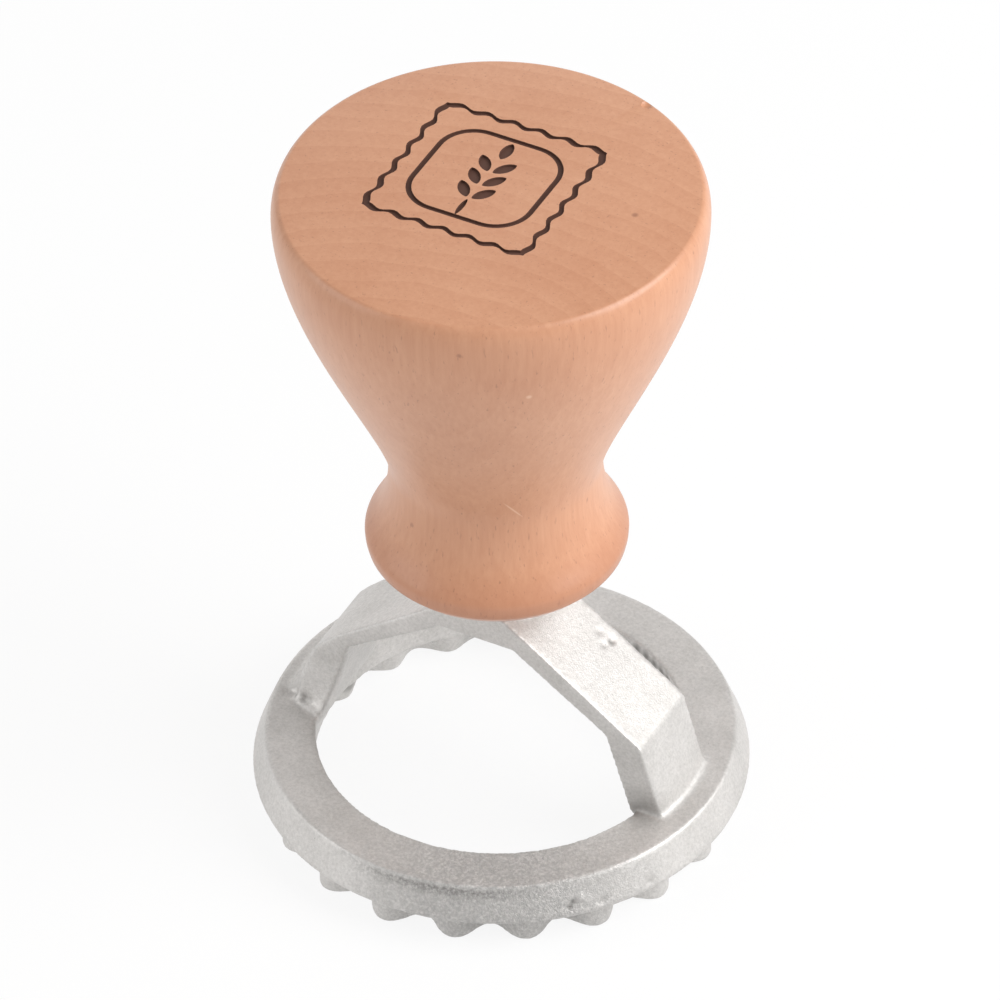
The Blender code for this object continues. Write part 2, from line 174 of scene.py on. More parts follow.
def fluted_inside(angle, radius):
    """A point of the fluted wall's inside, which waves more softly than its outside."""
    wave = WALL_INSIDE_SWING * math.cos(FLUTE_COUNT * (angle - FLUTE_PHASE))
    return Vector((math.cos(angle), math.sin(angle))) * (radius + wave)


def lofted(outlines):
    """A closed bmesh through outlines of (x, y, z) points laid side by side."""
    bm = bmesh.new()
    sections = []
    for outline in outlines:
        verts = [bm.verts.new(point) for point in outline]
        sections.append([bm.edges.new(pair) for pair in zip(verts, verts[1:] + verts[:1])])
    for near, far in zip(sections, sections[1:]):
        bmesh.ops.bridge_loops(bm, edges=near + far)
    for loop in (sections[0], sections[-1]):
        bmesh.ops.contextual_create(bm, geom=loop)
    bmesh.ops.recalc_face_normals(bm, faces=bm.faces)
    return bm


def foot_fillet(foot, size, count):
    """Points of the hollow that leads the strap's outer face down on to the flange, from above."""
    shares = [1 - index / count for index in range(count + 1)]
    return [(foot + (1 - share) ** 2 * size, FLANGE_TOP_Z + share ** 2 * size) for share in shares]


def strap_section(across):
    """The strap's outline in X and Z at one place across its width.

    The left knee was fettled rounder than the right, and the left foot runs out wider.
    """
    foot = math.sqrt(BRIDGE_FOOT_RADIUS ** 2 - across ** 2)
    root = math.sqrt((FLANGE_BORE_RADIUS + BRIDGE_FOOT_ROOT) ** 2 - across ** 2)
    top = FLANGE_TOP_Z
    crown = [(BRIDGE_CROWN_HALF, BRIDGE_TOP_Z), (BRIDGE_KNUCKLE_HALF, BRIDGE_TOP_Z - BRIDGE_KNUCKLE_DROP)]
    sides = []
    for knee, fillet, steps, inner_bend in (
        (BRIDGE_KNEE, BRIDGE_FOOT_FILLET, 2, BRIDGE_INNER_BEND),
        (BRIDGE_WORN_KNEE, BRIDGE_LEFT_FILLET, 4, BRIDGE_LEFT_INNER_BEND),
    ):
        sides.append(
            crown
            + [(along, top + height) for along, height in knee]
            + foot_fillet(foot, fillet, steps)
            + [
                (foot + fillet, top - BRIDGE_FOOT_SUNK),
                (root, top - BRIDGE_FOOT_SUNK),
                (BRIDGE_FOOT_INNER, top - BRIDGE_FOOT_LIP),
                (inner_bend, top + BRIDGE_INNER_BEND_HEIGHT),
                (BRIDGE_INNER_CROWN_HALF, BRIDGE_UNDER_Z),
            ]
        )
    right, left = sides
    return right + [(-along, height) for along, height in left[::-1]]


inside_rows = [
    (WALL_INSIDE_RADIUS - WALL_INSIDE_DRAFT, FLANGE_UNDER_Z),
    (WALL_INSIDE_RADIUS, WALL_CHAMFER),
    (WALL_INSIDE_RADIUS + WALL_CHAMFER, 0.0),
]
outside_rows = [(FLUTE_ROUND - WALL_CHAMFER, 0.0), (FLUTE_ROUND, WALL_CHAMFER), (FLUTE_ROUND, FLANGE_UNDER_Z)]
below_centre = (FLANGE_OUTER_RADIUS - FLANGE_ROUND_BELOW, FLANGE_UNDER_Z + FLANGE_ROUND_BELOW)
above_centre = (FLANGE_TOP_RADIUS - FLANGE_ROUND_ABOVE, FLANGE_TOP_Z - FLANGE_ROUND_ABOVE)
flange_outline = (
    rounded_corner(below_centre, FLANGE_ROUND_BELOW, -90, 0)
    + rounded_corner(above_centre, FLANGE_ROUND_ABOVE, 20, 90)
    + [(FLANGE_BORE_RADIUS, FLANGE_TOP_Z), (FLANGE_BORE_RADIUS + FLANGE_BORE_DRAFT, FLANGE_UNDER_Z)]
)
bm = spun(
    inside_rows + [(FLUTE_MEAN_RADIUS + offset, height) for offset, height in outside_rows] + flange_outline,
    FLUTE_COUNT * STEPS_PER_FLUTE,
    closed=True,
)
pushed = []
for vert in bm.verts:
    angle = math.atan2(vert.co.y, vert.co.x)
    for radius, height in inside_rows:
        if abs(vert.co.xy.length - radius) < TINY and abs(vert.co.z - height) < TINY:
            pushed.append((vert, fluted_inside(angle, radius)))
    for offset, height in outside_rows:
        if abs(vert.co.xy.length - FLUTE_MEAN_RADIUS - offset) < TINY and abs(vert.co.z - height) < TINY:
            pushed.append((vert, fluted(angle, offset)))
for vert, place in pushed:
    vert.co.xy = place
ring = shown("ring", bm)

outlines = []
for index in range(BRIDGE_STATIONS):
    across = BRIDGE_WIDTH * (index / (BRIDGE_STATIONS - 1) - 0.5)
    outlines.append([(along, across, height) for along, height in strap_section(across)])
strap = shown("strap", lofted(outlines))

# The front of the left foot runs out on to the ring in a flare, which ends in a thin lip of scrap metal
FLARE_FROM = -0.0256
FLARE_LENGTH = 0.0047
FLARE_FRONT = -0.0058
FLARE_BACK = -0.0050
FLARE_REACH = 0.0015
FLARE_REACH_GAIN = 0.0014
FLARE_RISE = 0.0085
FLARE_LIP = 0.0004
FLARE_LEAN = 0.28
FLARE_SUNK = 0.001
FLARE_STATIONS = 6
FLARE_STEPS = 8
outlines = []
for index in range(FLARE_STATIONS):
    share = index / (FLARE_STATIONS - 1)
    along = FLARE_FROM + FLARE_LENGTH * share
    reach = FLARE_REACH + FLARE_REACH_GAIN * share
    outline = []
    for step in range(FLARE_STEPS + 1):
        out = step / FLARE_STEPS
        rise = FLARE_LIP + (FLARE_RISE - FLARE_LIP) * (1 - out) ** 2
        outline.append((along + FLARE_LEAN * rise, FLARE_FRONT - reach * out, FLANGE_TOP_Z + rise))
    outline += [
        (along, FLARE_FRONT - reach, FLANGE_TOP_Z - FLARE_SUNK),
        (along, FLARE_BACK, FLANGE_TOP_Z - FLARE_SUNK),
        (along + FLARE_LEAN * FLARE_RISE, FLARE_BACK, FLANGE_TOP_Z + FLARE_RISE),
    ]
    outlines.append(outline)
flare = shown("flare", lofted(outlines))

boss = shown("boss", spun(
    [
        (0.0, BRIDGE_TOP_Z - BOSS_SUNK),
        (BOSS_RADIUS, BRIDGE_TOP_Z - BOSS_SUNK),
        (BOSS_RADIUS, BOSS_TOP_Z - BOSS_CHAMFER),
        (BOSS_RADIUS - BOSS_CHAMFER, BOSS_TOP_Z),
        (0.0, BOSS_TOP_Z),
    ],
    BOSS_STEPS,
))
hole = shown("hole", spun(
    [
        (0.0, BRIDGE_UNDER_Z - CUT_PAST),
        (SCREW_MOUTH_RADIUS, BRIDGE_UNDER_Z - CUT_PAST),
        (SCREW_MOUTH_RADIUS, BRIDGE_UNDER_Z + SCREW_MOUTH_DEPTH),
        (SCREW_HOLE_RADIUS, BRIDGE_UNDER_Z + SCREW_MOUTH_DEPTH + SCREW_MOUTH_RADIUS - SCREW_HOLE_RADIUS),
        (SCREW_HOLE_RADIUS, BOSS_TOP_Z + CUT_PAST),
        (0.0, BOSS_TOP_Z + CUT_PAST),
    ],
    BOSS_STEPS,
))
solid = shown(
    "solid", combined(ring, ("UNION", strap), ("UNION", flare), ("UNION", boss), ("DIFFERENCE", hole))
)
skin = solid.modifiers.new("skin", "REMESH")
skin.mode = "VOXEL"
skin.voxel_size = CAST_VOXEL
bm = combined(solid)
for _ in range(CAST_SMOOTHING):
    bmesh.ops.smooth_vert(bm, verts=bm.verts, factor=0.5, use_axis_x=True, use_axis_y=True, use_axis_z=True)

# Sand leaves the skin uneven: long waves, lumps of a millimetre and the marks of single grains, rougher
# round one sandy place in front, with a burr along the edge there. On top of that come the flaws and spots
# of painted shade: each is a place, a reach, a lift, which is negative for a pit, and a darkness. Those
# without a lift are painted shade only, in the corners behind the strap, inside the wall and at the right
# foot, where the real stamp looks dark.
SKIN_WAVES = ((0.0050, 0.000030), (0.0013, 0.000030), (0.0006, 0.000026))
SKIN_SETBACK = 0.00004
SANDY_PLACE = (0.0135, -0.0265, 0.0064)
SANDY_REACH = 0.022
SANDY_CORE = 0.008
CALM_SHARE = 0.40
BURR_PLACE = (0.02935, 0.00885)
BURR_REACH = 0.00040
BURR_LIFT = 0.00030
BURR_PITCH = 0.0011
BURR_FROM = math.radians(-104.0)
BURR_TO = math.radians(-52.0)
FLAWS_AND_SHADE = (
    ((0.01362, 0.00408, 0.02545), 0.00040, -0.00030, 0.80),
    ((0.01211, 0.00379, 0.02656), 0.00045, -0.00012, 0.15),
    ((0.01323, 0.00268, 0.02573), 0.00040, -0.00012, 0.15),
    ((0.02203, -0.02082, 0.00640), 0.00050, 0.00032, 0.0),
    ((0.02116, -0.02208, 0.00556), 0.00040, -0.00026, 0.75),
    ((0.02135, -0.02164, 0.00612), 0.00035, -0.00020, 0.65),
    ((0.02409, -0.01894, 0.00536), 0.00050, -0.00022, 0.20),
    ((0.02765, -0.01324, 0.00532), 0.00060, -0.00020, 0.10),
    ((0.03031, 0.00248, 0.00608), 0.00050, 0.00012, 0.0),
    ((-0.02400, -0.00700, 0.00975), 0.00065, -0.00020, 0.70),
    ((-0.02300, -0.00715, 0.00985), 0.00050, -0.00012, 0.45),
    ((-0.02440, -0.00770, 0.00945), 0.00030, 0.00024, 0.0),
    ((-0.02350, -0.00805, 0.00945), 0.00030, 0.00024, 0.0),
    ((-0.02255, -0.00840, 0.00945), 0.00030, 0.00024, 0.0),
    ((-0.02155, -0.00875, 0.00945), 0.00030, 0.00024, 0.0),
    # Painted shade from here on: these rows only darken, without a lift.
    ((0.00790, 0.02155, 0.00800), 0.00080, 0.0, 0.80),
    ((0.00950, 0.02090, 0.00790), 0.00085, 0.0, 0.85),
    ((0.01100, 0.02015, 0.00780), 0.00085, 0.0, 0.85),
    ((0.01240, 0.01930, 0.00780), 0.00085, 0.0, 0.85),
    ((0.01380, 0.01835, 0.00790), 0.00080, 0.0, 0.80),
    ((-0.02240, 0.00900, 0.00290), 0.00120, 0.0, 0.65),
    ((-0.01840, 0.01560, 0.00270), 0.00120, 0.0, 0.65),
    ((-0.02370, 0.00400, 0.00270), 0.00110, 0.0, 0.50),
    ((0.02280, -0.00600, 0.00980), 0.00280, 0.0, 0.34),
    ((0.02190, -0.00610, 0.00890), 0.00110, 0.0, 0.50),
)
bm.normal_update()
moved = []
for vert in bm.verts:
    away = (vert.co - Vector(SANDY_PLACE)).length
    sandiness = min(1.0, max(0.0, (SANDY_REACH - away) / (SANDY_REACH - SANDY_CORE)))
    lift = -SKIN_SETBACK
    for length, height in SKIN_WAVES:
        lift += height * (CALM_SHARE + (1.0 - CALM_SHARE) * sandiness) * noise.noise(vert.co / length)
    turn = math.atan2(vert.co.y, vert.co.x)
    from_burr = math.hypot(vert.co.xy.length - BURR_PLACE[0], vert.co.z - BURR_PLACE[1])
    if BURR_FROM < turn < BURR_TO and from_burr < BURR_REACH:
        uneven = 0.7 + 0.6 * noise.noise(vert.co / BURR_PITCH)
        lift += BURR_LIFT * uneven * (1.0 - from_burr / BURR_REACH)
    for spot_centre, reach, rise, darkness in FLAWS_AND_SHADE:
        nearness = 1.0 - min(1.0, (vert.co - Vector(spot_centre)).length / (2 * reach))
        lift += rise * nearness * nearness * (3 - 2 * nearness)
    moved.append(vert.co + vert.normal * lift)
for vert, place in zip(bm.verts, moved):
    place.z = max(place.z, head_low.z)
    vert.co = place
head = shown("cast_head_skin", bm)


def new_material(name):
    """A material with its Principled shader, and a function that adds a node with its inputs set."""
    material = bpy.data.materials.new(name)
    material.use_nodes = True
    tree = material.node_tree

    def add(kind, properties=None, **inputs):
        made = tree.nodes.new(kind)
        for key, value in (properties or {}).items():
            setattr(made, key, value)
        for key, value in inputs.items():
            socket = made.inputs[int(key[1:])] if key[0] == "i" and key[1:].isdigit() else made.inputs[key]
            if isinstance(value, bpy.types.NodeSocket):
                tree.links.new(value, socket)
            else:
                socket.default_value = value
        return made

    return material, tree.nodes["Principled BSDF"], add, tree.links


# The skin is mottled in two greys. It is duller round the sandy place, and a band of painted shade
# follows the flange there just below its top edge, where the real stamp looks dark.
CAST_LIGHT = (0.72, 0.70, 0.68, 1.0)
CAST_DULL = (0.54, 0.525, 0.505, 1.0)
CAST_SANDY = (0.42, 0.41, 0.40, 1.0)
# The darkest grey fills the grain hollows and the pits, and is also the colour of the painted shade.
CAST_PIT_AND_SHADE = (0.16, 0.15, 0.14, 1.0)
GRAIN_SIZE = 0.00020
SPECK_SIZE = 0.00042
BLOTCH_SIZE = 0.007
SHADE_PLACE = (0.0065, -0.0287, 0.0080)
SHADE_REACH = 0.013
SHADE_CORE = 0.005
SHADE_UNDER_Z = 0.0070
SHADE_FROM_Z = 0.0082
SHADE_TO_Z = 0.0083
SHADE_OVER_Z = 0.0087
cast, shader, add, links = new_material("cast_aluminium")
place = add("ShaderNodeTexCoord").outputs["Object"]
grain = add("ShaderNodeTexNoise", Vector=place, Scale=1 / GRAIN_SIZE, Detail=2.0, Roughness=0.65)
specks = add("ShaderNodeTexNoise", Vector=place, Scale=1 / SPECK_SIZE, Detail=3.0, Roughness=0.7)
blotch = add("ShaderNodeTexNoise", Vector=place, Scale=1 / BLOTCH_SIZE, Detail=2.0, Roughness=0.5)
fine_share = add("ShaderNodeMath", {"operation": "MULTIPLY"}, i0=specks.outputs["Fac"], i1=0.62)
tones = add(
    "ShaderNodeMath", {"operation": "MULTIPLY_ADD"},
    i0=blotch.outputs["Fac"], i1=0.38, i2=fine_share.outputs[0],
)
tone = add("ShaderNodeMapRange", Value=tones.outputs[0], **{"From Min": 0.34, "From Max": 0.64})
skin = add("ShaderNodeMix", {"data_type": "RGBA"}, Factor=tone.outputs["Result"], i6=CAST_DULL, i7=CAST_LIGHT)
hollows = add("ShaderNodeMapRange", Value=grain.outputs["Fac"], **{"From Min": 0.30, "From Max": 0.22})
base = add(
    "ShaderNodeMix", {"data_type": "RGBA"}, Factor=hollows.outputs["Result"], i6=skin.outputs[2], i7=CAST_PIT_AND_SHADE
)
from_sand = add("ShaderNodeVectorMath", {"operation": "DISTANCE"}, i0=place, i1=SANDY_PLACE)
dullness = add(
    "ShaderNodeMapRange", Value=from_sand.outputs["Value"],
    **{"From Min": SANDY_REACH, "From Max": SANDY_CORE, "To Max": 0.80},
)
sand_marks = add(
    "ShaderNodeMapRange", Value=specks.outputs["Fac"],
    **{"From Min": 0.36, "From Max": 0.64, "To Min": 1.2, "To Max": 0.35},
)
sandy_share = add(
    "ShaderNodeMath", {"operation": "MULTIPLY"},
    i0=dullness.outputs["Result"], i1=sand_marks.outputs["Result"],
)
sanded = add(
    "ShaderNodeMix", {"data_type": "RGBA"}, Factor=sandy_share.outputs[0], i6=base.outputs[2], i7=CAST_SANDY
)
height = add("ShaderNodeSeparateXYZ", Vector=place).outputs["Z"]
# Painted shade: a band just below the flange's top edge in front, broken up by the sand marks.
above = add("ShaderNodeMapRange", Value=height, **{"From Min": SHADE_UNDER_Z, "From Max": SHADE_FROM_Z})
below = add("ShaderNodeMapRange", Value=height, **{"From Min": SHADE_OVER_Z, "From Max": SHADE_TO_Z})
from_shade = add("ShaderNodeVectorMath", {"operation": "DISTANCE"}, i0=place, i1=SHADE_PLACE)
shade_reach = add(
    "ShaderNodeMapRange", Value=from_shade.outputs["Value"],
    **{"From Min": SHADE_REACH, "From Max": SHADE_CORE, "To Max": 0.55},
)
in_shade_band = add(
    "ShaderNodeMath", {"operation": "MULTIPLY"}, i0=above.outputs["Result"], i1=below.outputs["Result"]
)
shade_band_share = add(
    "ShaderNodeMath", {"operation": "MULTIPLY"}, i0=in_shade_band.outputs[0], i1=shade_reach.outputs["Result"]
)
shade_band_marks = add(
    "ShaderNodeMath", {"operation": "MULTIPLY"}, i0=shade_band_share.outputs[0], i1=sand_marks.outputs["Result"]
)
shaded = add(
    "ShaderNodeMix", {"data_type": "RGBA"}, Factor=shade_band_marks.outputs[0], i6=sanded.outputs[2], i7=CAST_PIT_AND_SHADE
)
colour = shaded.outputs[2]
# Each darkness mixes towards the darkest grey: a dark pit where the row has a lift, painted shade where it
# has none.
for spot_centre, reach, rise, darkness in FLAWS_AND_SHADE:
    if not darkness:
        continue
    away = add("ShaderNodeVectorMath", {"operation": "DISTANCE"}, i0=place, i1=spot_centre)
    dark = add(
        "ShaderNodeMapRange", Value=away.outputs["Value"],
        **{"From Min": 1.3 * reach, "From Max": 0.3 * reach, "To Max": darkness},
    )
    pit_and_shade = add("ShaderNodeMix", {"data_type": "RGBA"}, Factor=dark.outputs["Result"], i6=colour, i7=CAST_PIT_AND_SHADE)
    colour = pit_and_shade.outputs[2]
links.new(colour, shader.inputs["Base Color"])
shader.inputs["Metallic"].default_value = 0.6
rough = add(
    "ShaderNodeMapRange", Value=grain.outputs["Fac"],
    **{"From Min": 0.3, "From Max": 0.7, "To Min": 0.40, "To Max": 0.60},
)
links.new(rough.outputs["Result"], shader.inputs["Roughness"])
fine_strength = add(
    "ShaderNodeMapRange", Value=from_sand.outputs["Value"],
    **{"From Min": SANDY_REACH, "From Max": SANDY_CORE, "To Min": 0.28, "To Max": 1.0},
)
fine = add(
    "ShaderNodeBump", Strength=fine_strength.outputs["Result"], Distance=0.00015, Height=grain.outputs["Fac"]
)
broad_strength = add(
    "ShaderNodeMapRange", Value=from_sand.outputs["Value"],
    **{"From Min": SANDY_REACH, "From Max": SANDY_CORE, "To Min": 0.12, "To Max": 0.40},
)
broad = add(
    "ShaderNodeBump", Strength=broad_strength.outputs["Result"], Distance=0.00014,
    Height=specks.outputs["Fac"], Normal=fine.outputs["Normal"],
)
links.new(broad.outputs["Normal"], shader.inputs["Normal"])
head.data.materials.append(cast)
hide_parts("cast_head")
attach(head, "root")


# The fixing screw: a zinc plated steel wood screw with a countersunk head. It goes up through the bridge
# and the boss into the foot of the handle and holds the two together.
ZINC_COLOUR = (0.60, 0.60, 0.62, 1.0)
ZINC_CLOUD_SIZE = 0.0012
zinc, shader, add, links = new_material("zinc_plated_steel")
place = add("ShaderNodeTexCoord").outputs["Object"]
cloud = add("ShaderNodeTexNoise", Vector=place, Scale=1 / ZINC_CLOUD_SIZE, Detail=3.0)
rough = add(
    "ShaderNodeMapRange", Value=cloud.outputs["Fac"],
    **{"From Min": 0.3, "From Max": 0.7, "To Min": 0.26, "To Max": 0.40},
)
shader.inputs["Base Color"].default_value = ZINC_COLOUR
shader.inputs["Metallic"].default_value = 1.0
links.new(rough.outputs["Result"], shader.inputs["Roughness"])
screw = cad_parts["fixing_screw"]
screw.data.materials.clear()
screw.data.materials.append(zinc)


# The handle: a knob turned from one block of close-grained pinkish hardwood, sanded and lightly oiled.
# Its flat top carries a burnt line mark: a scalloped ravioli round a wheat ear.
handle_low, handle_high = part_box("handle")
HANDLE_FOOT_Z = handle_low.z
HANDLE_TOP_Z = handle_high.z
BEAD_RADIUS = 0.0162
BEAD_Z = HANDLE_FOOT_Z + 0.0028
FOOT_INSET = 0.0015
BEAD_ARRIS = ((0.00130, 0.00008), (0.00030, 0.00118), (0.00022, 0.00130), (0.00006, 0.00200))
NECK_RADIUS = 0.0131
NECK_Z = HANDLE_FOOT_Z + 0.0132
BELLY_RADIUS = handle_high.x
BELLY_Z = HANDLE_TOP_Z - 0.0030
RIM_INSET = 0.0012
BEAD_PULL = 0.0014
NECK_PULL_BELOW = 0.0070
NECK_PULL_ABOVE = 0.0066
BELLY_PULL = 0.0127
HANDLE_STEPS = 192
BORE_RADIUS = 0.0027
BORE_END_Z = 0.0605
BORE_POINT_Z = 0.0632
BORE_STEPS = 48


def swept(lower, upper, leave, arrive, count):
    """A curve from lower to upper that is upright at both ends, without its first point."""
    controls = (lower, (lower[0], lower[1] + leave), (upper[0], upper[1] - arrive), upper)
    points = []
    for index in range(1, count + 1):
        t = index / count
        weights = ((1 - t) ** 3, 3 * (1 - t) ** 2 * t, 3 * (1 - t) * t * t, t ** 3)
        points.append(tuple(sum(w * point[axis] for w, point in zip(weights, controls)) for axis in (0, 1)))
    return points


def oval_corner(centre, across, tall, start, end, count):
    """Points of an oval arc in the outline, angles in degrees."""
    return [
        (
            centre[0] + across * math.cos(math.radians(start + (end - start) * index / count)),
            centre[1] + tall * math.sin(math.radians(start + (end - start) * index / count)),
        )
        for index in range(count + 1)
    ]


outline = (
    [(0.0, HANDLE_FOOT_Z), (BEAD_RADIUS - FOOT_INSET, HANDLE_FOOT_Z)]
    + [(BEAD_RADIUS - inset, HANDLE_FOOT_Z + height) for inset, height in BEAD_ARRIS]
    + [(BEAD_RADIUS, BEAD_Z)]
    + swept((BEAD_RADIUS, BEAD_Z), (NECK_RADIUS, NECK_Z), BEAD_PULL, NECK_PULL_BELOW, 22)
    + swept((NECK_RADIUS, NECK_Z), (BELLY_RADIUS, BELLY_Z), NECK_PULL_ABOVE, BELLY_PULL, 44)
    + oval_corner((BELLY_RADIUS - RIM_INSET, BELLY_Z), RIM_INSET, HANDLE_TOP_Z - BELLY_Z, 0, 90, 12)[1:]
    + [(0.0, HANDLE_TOP_Z)]
)
knob = shown("knob", spun(outline, HANDLE_STEPS))

MARK_DEPTH = 0.00035
MARK_LINE = 0.0007
MARK_SIDE = 0.0210
MARK_CENTRE = (-0.0019, 0.0021, 0.0)
MARK_SCALLOPS = 6
MARK_SCALLOP_SWING = 0.0006
MARK_SCALLOP_STEPS = 8
MARK_PILLOW = 0.0158
MARK_PILLOW_CORNER = 0.0045
MARK_PILLOW_STEPS = 12
EAR_GRAIN_LENGTH = 0.0032
EAR_GRAIN_WIDTH = 0.0015
EAR_GRAIN_TILT = math.radians(38.0)
EAR_GRAIN_STEPS = 20
EAR_PAIRS = 3
EAR_PITCH = 0.0027
NICK_PLACE = (0.00900, 0.02330, 0.09515)
NICK_RADIUS = 0.0010


def scalloped(side):
    """A square outline whose sides wave in and out like a crimped edge."""
    points = []
    steps = MARK_SCALLOPS * MARK_SCALLOP_STEPS
    for corner in range(4):
        turn = Matrix.Rotation(corner * math.pi / 2, 2)
        for index in range(steps):
            along = index / steps
            wave = MARK_SCALLOP_SWING * math.sin(math.pi * MARK_SCALLOPS * along) ** 2
            points.append(turn @ Vector((side * (along - 0.5), -side / 2 - wave)))
    return points


def pillow(side):
    """A square outline with round corners."""
    corner = MARK_PILLOW_CORNER + (side - MARK_PILLOW) / 2
    points = []
    for quarter in range(4):
        centre = Matrix.Rotation(quarter * math.pi / 2, 2) @ Vector((side / 2 - corner, side / 2 - corner))
        for index in range(MARK_PILLOW_STEPS + 1):
            angle = math.pi / 2 * (quarter + index / MARK_PILLOW_STEPS)
            points.append(centre + corner * Vector((math.cos(angle), math.sin(angle))))
    return points


def wheat_grain(base, direction, length, width):
    """A pointed oval that starts at base."""
    along = Vector((math.cos(direction), math.sin(direction)))
    across = Vector((-along.y, along.x))
    points = []
    for index in range(EAR_GRAIN_STEPS):
        angle = math.tau * index / EAR_GRAIN_STEPS
        bulge = abs(math.sin(angle)) ** 1.4 * math.copysign(1.0, math.sin(angle))
        points.append(base + along * length * (0.5 - 0.5 * math.cos(angle)) + across * bulge * width / 2)
    return points


def sink(bm, outline, hole=None):
    """Stand a prism in the mark's groove; with a hole it becomes a closed ribbon."""
    rings = []
    for loop in [outline] + ([hole] if hole else []):
        verts = [bm.verts.new((point.x, point.y, HANDLE_TOP_Z - MARK_DEPTH)) for point in loop]
        rings.append([bm.edges.new(pair) for pair in zip(verts, verts[1:] + verts[:1])])
    if hole:
        floor = bmesh.ops.bridge_loops(bm, edges=rings[0] + rings[1])["faces"]
    else:
        floor = bmesh.ops.contextual_create(bm, geom=rings[0])["faces"]
    raised = bmesh.ops.extrude_face_region(bm, geom=floor)["geom"]
    lid = [item for item in raised if isinstance(item, bmesh.types.BMVert)]
    bmesh.ops.translate(bm, verts=lid, vec=(0, 0, 2 * MARK_DEPTH))
    bm.faces.index_update()


border = bmesh.new()
sink(border, scalloped(MARK_SIDE + MARK_LINE), scalloped(MARK_SIDE - MARK_LINE))
middle = bmesh.new()
sink(middle, pillow(MARK_PILLOW + MARK_LINE), pillow(MARK_PILLOW - MARK_LINE))
ear = bmesh.new()
ear_foot = -EAR_PITCH * EAR_PAIRS / 2
sink(ear, wheat_grain(
    Vector((0.0, ear_foot - EAR_GRAIN_LENGTH - MARK_LINE / 2)), math.pi / 2, EAR_GRAIN_LENGTH, MARK_LINE
))
for pair in range(EAR_PAIRS):
    for side in (-1, 1):
        sink(ear, wheat_grain(
            Vector((side * MARK_LINE / 2, ear_foot + EAR_PITCH * pair)),
            math.pi / 2 - side * EAR_GRAIN_TILT, EAR_GRAIN_LENGTH, EAR_GRAIN_WIDTH,
        ))
sink(ear, wheat_grain(
    Vector((0.0, ear_foot + EAR_PITCH * EAR_PAIRS)), math.pi / 2, EAR_GRAIN_LENGTH, EAR_GRAIN_WIDTH
))
bore = spun(
    [
        (0.0, HANDLE_FOOT_Z - CUT_PAST),
        (BORE_RADIUS, HANDLE_FOOT_Z - CUT_PAST),
        (BORE_RADIUS, BORE_END_Z),
        (0.0, BORE_POINT_Z),
    ],
    BORE_STEPS,
)
nick = bmesh.new()
bmesh.ops.create_uvsphere(nick, u_segments=24, v_segments=16, radius=NICK_RADIUS)
cutters = []
for name, bm in (("border", border), ("middle", middle), ("ear", ear), ("bore", bore), ("nick", nick)):
    if name in ("border", "middle", "ear"):
        bmesh.ops.translate(bm, verts=bm.verts, vec=MARK_CENTRE)
    if name == "nick":
        bmesh.ops.translate(bm, verts=bm.verts, vec=NICK_PLACE)
    bmesh.ops.recalc_face_normals(bm, faces=bm.faces)
    cutters.append(("DIFFERENCE", shown(name, bm)))
bm = combined(knob, *cutters)
for face in bm.faces:
    spot = face.calc_center_median()
    sunk = 0.01 * MARK_DEPTH < HANDLE_TOP_Z - spot.z < 1.01 * MARK_DEPTH
    face.material_index = 1 if sunk and spot.xy.length < 0.75 * BELLY_RADIUS else 0
handle = shown("turned_handle", bm, sharp_angle=math.radians(35.0))

WOOD_LIGHT = (0.645, 0.332, 0.197, 1.0)
WOOD_DARK = (0.545, 0.250, 0.137, 1.0)
WOOD_PORE = (0.330, 0.140, 0.080, 1.0)
# Painted shade: this darker red is laid on the lowest 7 mm of the handle, round the bead.
FOOT_SHADE_COLOUR = (0.370, 0.130, 0.065, 1.0)
WOOD_BARE = (0.80, 0.54, 0.38, 1.0)
FOOT_SHADE_REACH = 0.0070
FOOT_SHADE_CORE = 0.0018
SPOTS = (
    ((0.01729, 0.00399, 0.09450), 0.00050, WOOD_PORE, 0.8),
    ((0.00882, -0.02476, 0.09095), 0.00040, WOOD_PORE, 0.6),
    ((0.01532, -0.01968, 0.08330), 0.00045, WOOD_BARE, 0.5),
    ((-0.00504, -0.01232, 0.04973), 0.00040, WOOD_PORE, 0.6),
)
SCRATCH_PLACE = (0.00828, -0.01112, 0.05639)
SCRATCH_RUN = (0.00143, 0.00261, -0.00384)
SCRATCH_HALF_SIZE = (0.0012, 0.00014, 0.0026)
PITH = (0.0078, -0.0537, 0.0)
RING_SPACING = 0.0030
FIBRE_SIZE = 0.0006
FLECK_SIZE = 0.00030
CLOUD_SIZE = 0.016
wood, shader, add, links = new_material("turned_wood")
coords = add("ShaderNodeTexCoord")
place = coords.outputs["Object"]
from_pith = add("ShaderNodeMapping", Vector=place, Location=(-PITH[0], -PITH[1], 0.0))
rings = add(
    "ShaderNodeTexWave",
    {"wave_type": "RINGS", "rings_direction": "Z", "wave_profile": "SAW"},
    Vector=from_pith.outputs["Vector"],
    Scale=math.tau / 20 / RING_SPACING,
    Distortion=5.0,
    Detail=3.0,
    **{"Detail Scale": 0.5},
)
facing = add("ShaderNodeSeparateXYZ", Vector=coords.outputs["Normal"])
end_grain = add(
    "ShaderNodeMapRange", Value=facing.outputs["Z"],
    **{"From Min": 0.5, "From Max": 0.95, "To Min": 0.05, "To Max": 0.13},
)
ring_share = add(
    "ShaderNodeMath", {"operation": "MULTIPLY"}, i0=rings.outputs["Fac"], i1=end_grain.outputs["Result"]
)
stretched = add("ShaderNodeMapping", Vector=place, Scale=(1.0, 1.0, 0.06))
fibre = add(
    "ShaderNodeTexNoise", Vector=stretched.outputs["Vector"], Scale=1 / FIBRE_SIZE, Detail=4.0, Roughness=0.6
)
